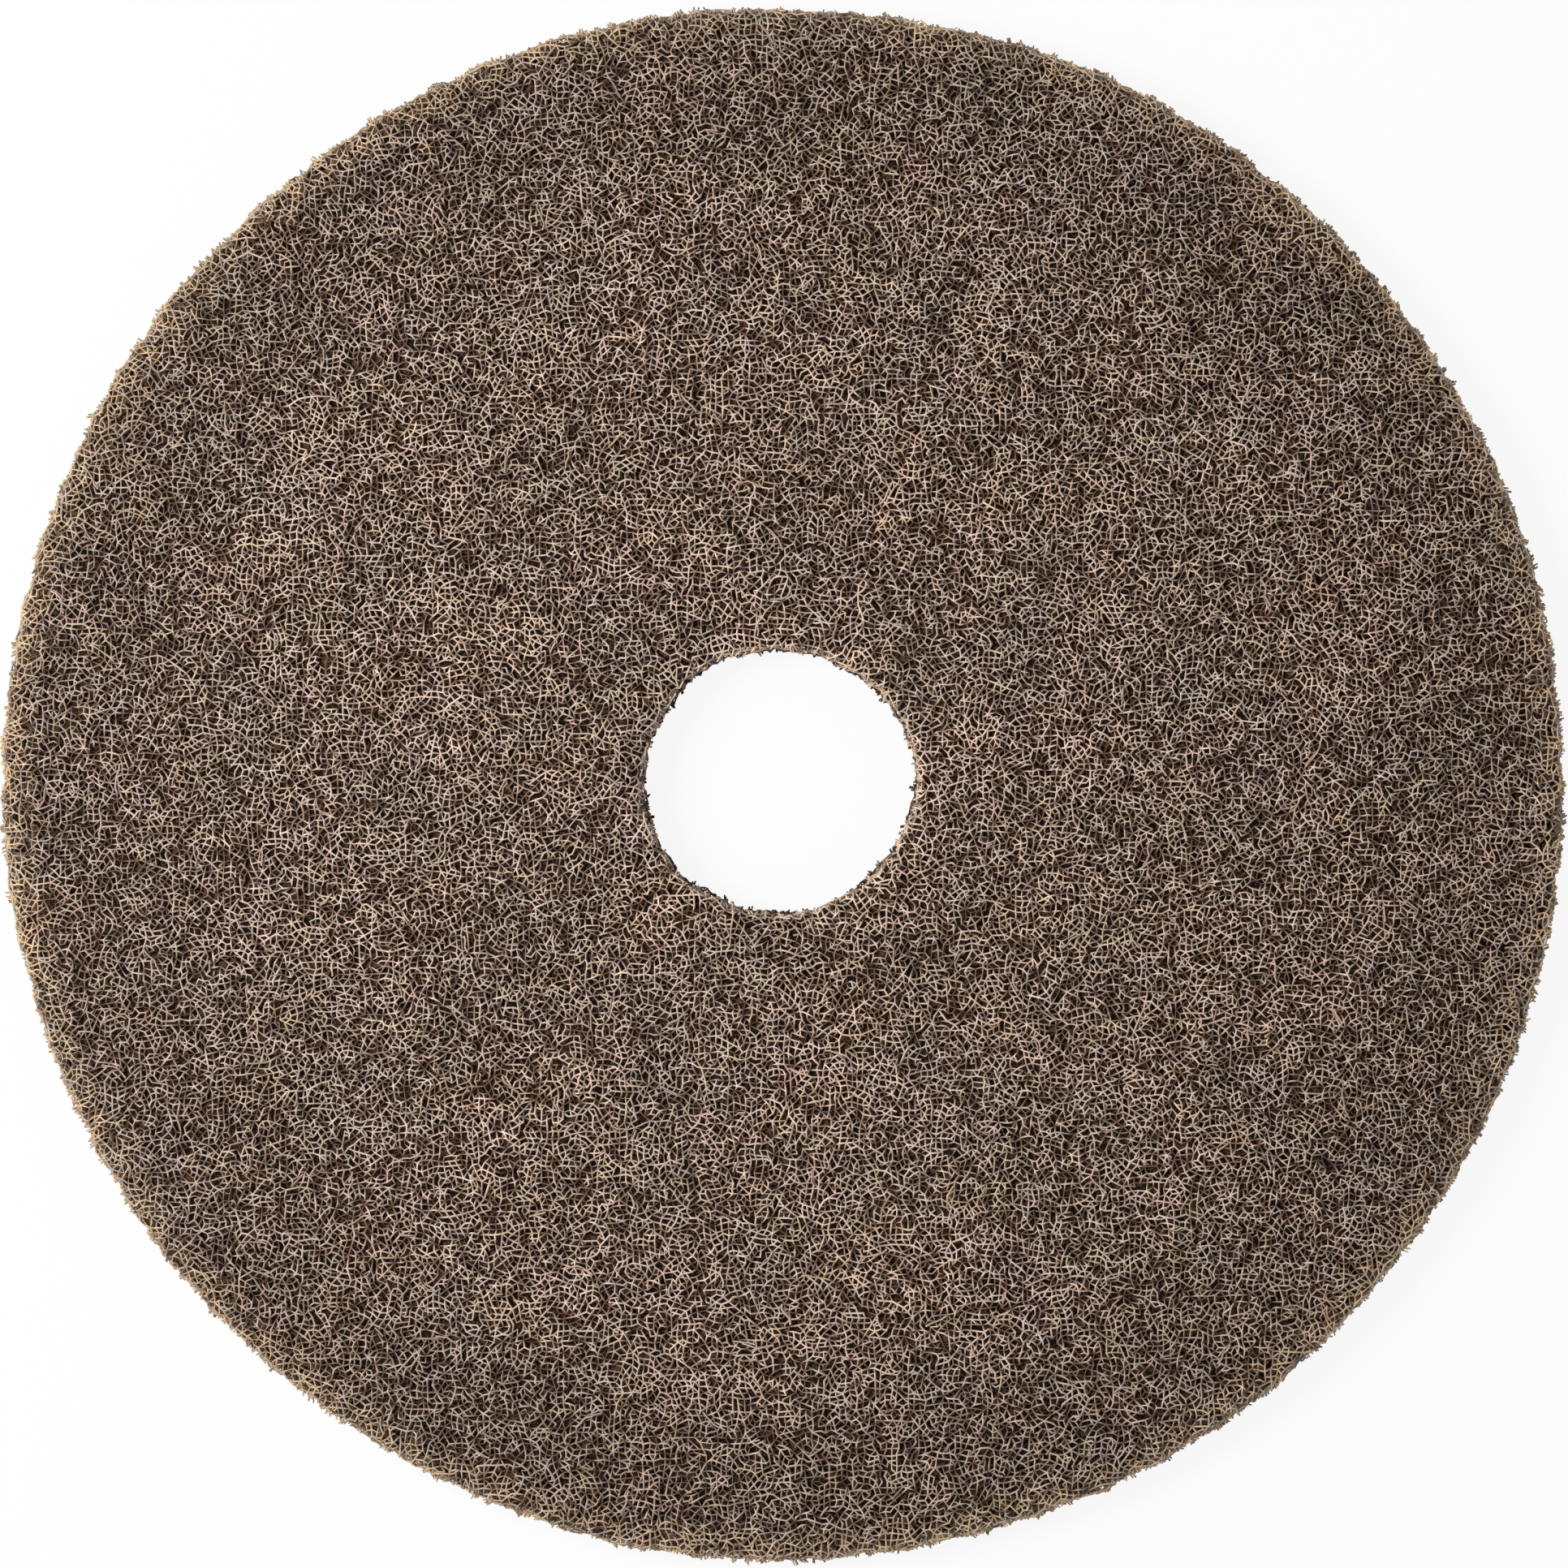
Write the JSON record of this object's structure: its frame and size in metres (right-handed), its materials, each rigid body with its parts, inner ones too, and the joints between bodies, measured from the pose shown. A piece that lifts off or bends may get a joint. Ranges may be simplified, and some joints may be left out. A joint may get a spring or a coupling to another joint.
{
  "type": "finishing disc",
  "caption": "Thick round disc of open, resin-bonded fibre web with a punched centre hole, for finishing floors under a single-disc machine.",
  "frame": {"origin": "middle of the disc's outline, on its flat driver face", "axes": "+Z through the thickness, from the driver face to the working face; seen from above, +X points right and +Y points up"},
  "size_m": [0.4844, 0.4817, 0.0231],
  "materials": {
    "fibre_web": "matt, open, crimped fibres bonded with resin"
  },
  "bodies": {
    "root": {"fibre_pad": "fibre_web"}
  },
  "joints": []
}
